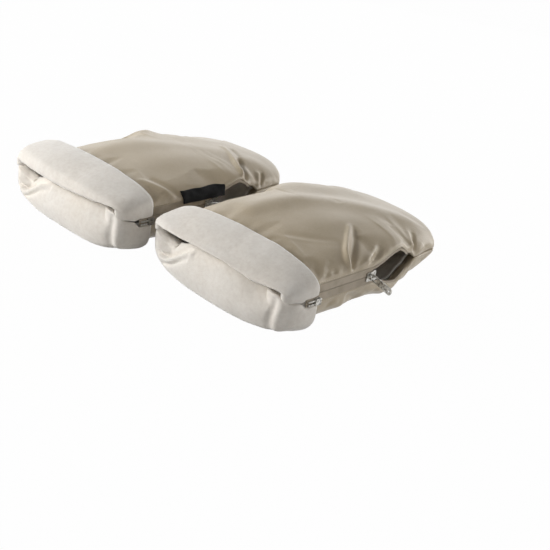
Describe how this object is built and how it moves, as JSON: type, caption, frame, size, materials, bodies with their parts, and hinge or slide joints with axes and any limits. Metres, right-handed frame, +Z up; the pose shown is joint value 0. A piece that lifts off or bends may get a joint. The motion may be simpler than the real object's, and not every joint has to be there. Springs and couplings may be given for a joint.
{
  "type": "stroller hand muff",
  "caption": "Pair of padded pushchair hand muffs with turned-out fleece cuffs, side zips with pull tabs, and gapes for the handlebar.",
  "frame": {"origin": "on the resting face under the middle of the pair", "axes": "+X along the handlebar to the right hand, +Y forward to the noses, +Z up"},
  "size_m": [0.4334, 0.302, 0.0771],
  "materials": {
    "shell": "satin softshell, quilted to its wadding",
    "fleece": "short off-white fleece",
    "tape": "woven zip tape with moulded teeth",
    "metal": "bright die-cast zip parts",
    "label": "black satin-woven label"
  },
  "bodies": {
    "right_base": {"right_bottom_shell": "shell", "right_bottom_lining": "fleece", "right_bottom_cuff": "fleece", "right_outer_bottom_zip_tape": "tape", "right_outer_bottom_tape_end": "tape", "right_outer_zip_box": "metal", "right_inner_bottom_zip_tape": "tape", "right_inner_bottom_tape_end": "tape", "right_inner_zip_box": "metal"},
    "right_top": {"right_top_shell": "shell", "right_top_lining": "fleece", "right_top_cuff": "fleece", "right_outer_top_zip_tape": "tape", "right_outer_top_tape_end": "tape", "right_outer_zip_pin": "metal", "right_inner_top_zip_tape": "tape", "right_inner_top_tape_end": "tape", "right_inner_zip_pin": "metal"},
    "right_outer_zip": {"right_outer_slider": "metal"},
    "right_outer_tab": {"right_outer_pull_tab": "metal"},
    "right_inner_zip": {"right_inner_slider": "metal"},
    "right_inner_tab": {"right_inner_pull_tab": "metal"},
    "left_base": {"left_bottom_shell": "shell", "left_bottom_lining": "fleece", "left_bottom_cuff": "fleece", "left_outer_bottom_zip_tape": "tape", "left_outer_bottom_tape_end": "tape", "left_outer_zip_box": "metal", "left_inner_bottom_zip_tape": "tape", "left_inner_bottom_tape_end": "tape", "left_inner_zip_box": "metal"},
    "left_top": {"left_top_shell": "shell", "left_top_lining": "fleece", "left_top_cuff": "fleece", "left_label": "label", "left_outer_top_zip_tape": "tape", "left_outer_top_tape_end": "tape", "left_outer_zip_pin": "metal", "left_inner_top_zip_tape": "tape", "left_inner_top_tape_end": "tape", "left_inner_zip_pin": "metal"},
    "left_outer_zip": {"left_outer_slider": "metal"},
    "left_outer_tab": {"left_outer_pull_tab": "metal"},
    "left_inner_zip": {"left_inner_slider": "metal"},
    "left_inner_tab": {"left_inner_pull_tab": "metal"}
  },
  "joints": [
    {"name": "left_muff_slide", "type": "slide", "parent": "right_base", "child": "left_base", "axis": [1, 0, 0], "range_m": [-0.12, 0]},
    {"name": "right_opening", "type": "hinge", "parent": "right_base", "child": "right_top", "pos_m": [0.103, 0.151, 0.0395], "axis": [-1, 0, 0], "range_deg": [0, 110]},
    {"name": "right_outer_zip_slide", "type": "slide", "parent": "right_base", "child": "right_outer_zip", "axis": [0, 1, 0], "range_m": [-0.071, 0], "deforming": ["right_outer_top_zip_tape", "right_outer_bottom_zip_tape"]},
    {"name": "right_outer_tab_swing", "type": "hinge", "parent": "right_outer_zip", "child": "right_outer_tab", "pos_m": [0.19217, 0, 0.0395], "axis": [0.2588, 0, 0.9659], "range_deg": [-45, 75]},
    {"name": "right_inner_zip_slide", "type": "slide", "parent": "right_base", "child": "right_inner_zip", "axis": [0, 1, 0], "range_m": [-0.071, 0], "deforming": ["right_inner_top_zip_tape", "right_inner_bottom_zip_tape"]},
    {"name": "right_inner_tab_swing", "type": "hinge", "parent": "right_inner_zip", "child": "right_inner_tab", "pos_m": [0.01383, 0, 0.0395], "axis": [0.2588, 0, -0.9659], "range_deg": [-35, 0]},
    {"name": "left_opening", "type": "hinge", "parent": "left_base", "child": "left_top", "pos_m": [-0.103, 0.129, 0.0395], "axis": [-1, 0, 0], "range_deg": [0, 110]},
    {"name": "left_outer_zip_slide", "type": "slide", "parent": "left_base", "child": "left_outer_zip", "axis": [0, 1, 0], "range_m": [-0.071, 0], "deforming": ["left_outer_top_zip_tape", "left_outer_bottom_zip_tape"]},
    {"name": "left_outer_tab_swing", "type": "hinge", "parent": "left_outer_zip", "child": "left_outer_tab", "pos_m": [-0.19217, -0.022, 0.0395], "axis": [0.2588, 0, -0.9659], "range_deg": [-45, 75]},
    {"name": "left_inner_zip_slide", "type": "slide", "parent": "left_base", "child": "left_inner_zip", "axis": [0, 1, 0], "range_m": [-0.071, 0], "deforming": ["left_inner_top_zip_tape", "left_inner_bottom_zip_tape"]},
    {"name": "left_inner_tab_swing", "type": "hinge", "parent": "left_inner_zip", "child": "left_inner_tab", "pos_m": [-0.01383, -0.022, 0.0395], "axis": [0.2588, 0, 0.9659], "range_deg": [-35, 0]}
  ]
}
